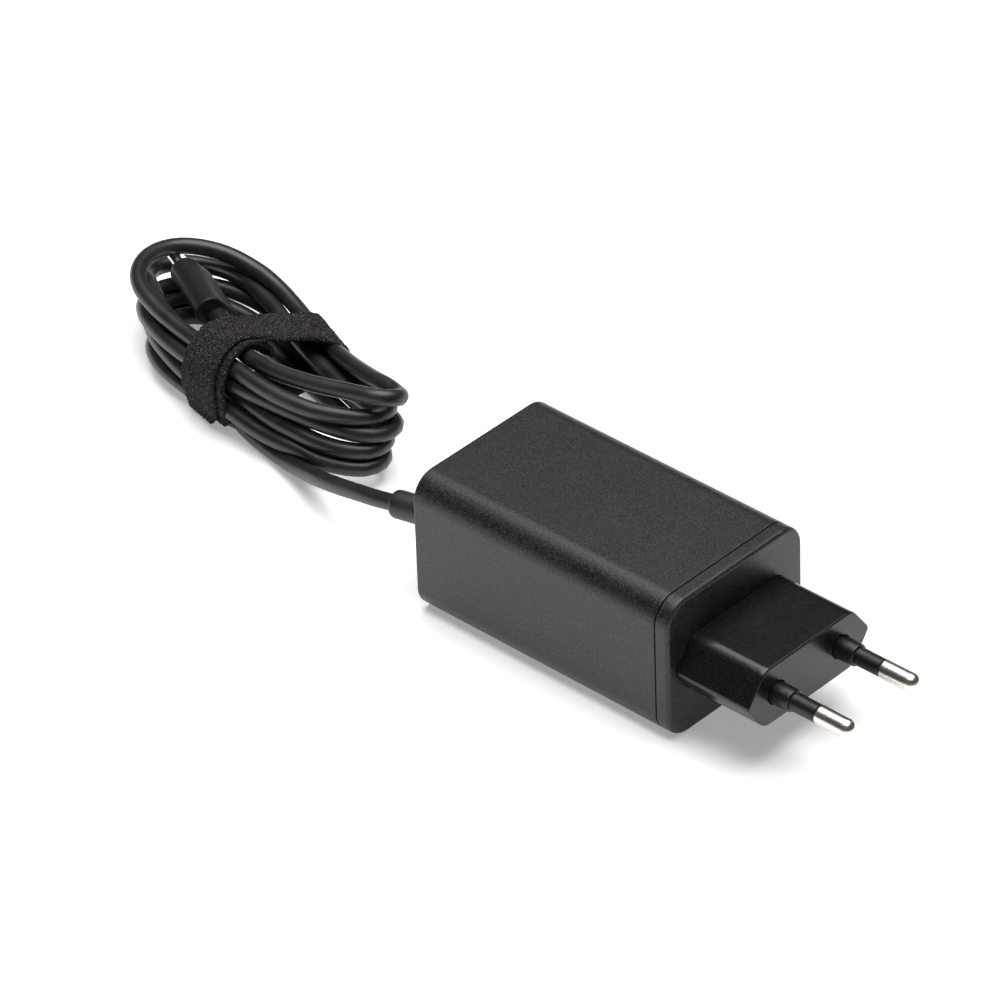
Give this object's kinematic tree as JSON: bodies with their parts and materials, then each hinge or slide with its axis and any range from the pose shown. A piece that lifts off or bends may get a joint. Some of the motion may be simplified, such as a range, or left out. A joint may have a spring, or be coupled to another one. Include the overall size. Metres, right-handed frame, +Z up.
{
  "type": "usb wall charger",
  "caption": "Black two-pin USB wall charger with rounded box housing, flat six-sided plug, captive cord wound in a tied hank and a small oval metal connector",
  "frame": {"origin": "Under the middle of the charger's own length (housing, plug and pins, without the cord), on the plane it rests on", "axes": "+X is the way the pins go into the socket, +Y runs across the housing's width from one pin to the other, +Z is up from the broad face it rests on"},
  "size_m": [0.2191, 0.0569, 0.0313],
  "materials": {
    "housing_black": "fine spark-eroded matte texture",
    "plug_black": "smooth satin moulding",
    "pin_nickel": "bright nickel plate",
    "sleeve_black": "smooth satin sleeve",
    "contact_brass": "stamped strip",
    "board_green": "solder-masked laminate",
    "insulation_sheet": "thin insulating film",
    "spreader_aluminium": "mill finish sheet",
    "thermal_pad_grey": "soft filled silicone",
    "ferrite_grey": "pressed ferrite",
    "bobbin_black": "moulded former",
    "winding_tape": "yellow film tape",
    "winding_copper": "enamelled copper wire",
    "capacitor_sleeve": "shrink sleeve over a can",
    "fuse_white": "moulded case",
    "varistor_blue": "dipped coating",
    "film_yellow": "moulded case",
    "ceramic_blue": "dipped coating",
    "chip_black": "moulded resin",
    "opto_white": "moulded resin",
    "cord_black": "satin elastomer jacket",
    "wire_red": "wire insulation",
    "strap_black": "loop pile tape",
    "shell_steel": "plated drawn shell",
    "contact_gold": "gold-plated contact row"
  },
  "bodies": {
    "root": {"housing_shell": "housing_black", "front_cap": "housing_black", "plug_block": "plug_black", "contact_pin_near": "pin_nickel", "contact_pin_far": "pin_nickel", "pin_sleeve_near": "sleeve_black", "pin_sleeve_far": "sleeve_black", "contact_strip_near": "contact_brass", "contact_strip_far": "contact_brass", "main_board": "board_green", "insulation_tray": "insulation_sheet", "heat_spreader": "spreader_aluminium", "thermal_pad": "thermal_pad_grey", "transformer_core_lower": "ferrite_grey", "transformer_core_upper": "ferrite_grey", "transformer_bobbin": "bobbin_black", "transformer_winding": "winding_tape", "bulk_capacitor_front": "capacitor_sleeve", "bulk_capacitor_rear": "capacitor_sleeve", "output_capacitor": "capacitor_sleeve", "choke_core": "ferrite_grey", "choke_winding_near": "winding_copper", "choke_winding_far": "winding_copper", "line_fuse": "fuse_white", "surge_varistor": "varistor_blue", "x_capacitor": "film_yellow", "y_capacitor": "ceramic_blue", "bridge_rectifier": "chip_black", "switch_transistor": "chip_black", "rectifier_transistor": "chip_black", "primary_controller": "chip_black", "output_controller": "chip_black", "optocoupler": "opto_white", "strain_relief": "cord_black", "lead_wire_positive": "wire_red", "lead_wire_negative": "chip_black", "output_cord": "cord_black", "cord_hank": "cord_black", "cord_strap": "strap_black", "connector_body": "housing_black", "connector_relief": "housing_black", "connector_shell": "shell_steel", "connector_contacts_upper": "contact_gold", "connector_contacts_lower": "bobbin_black"}
  },
  "joints": []
}
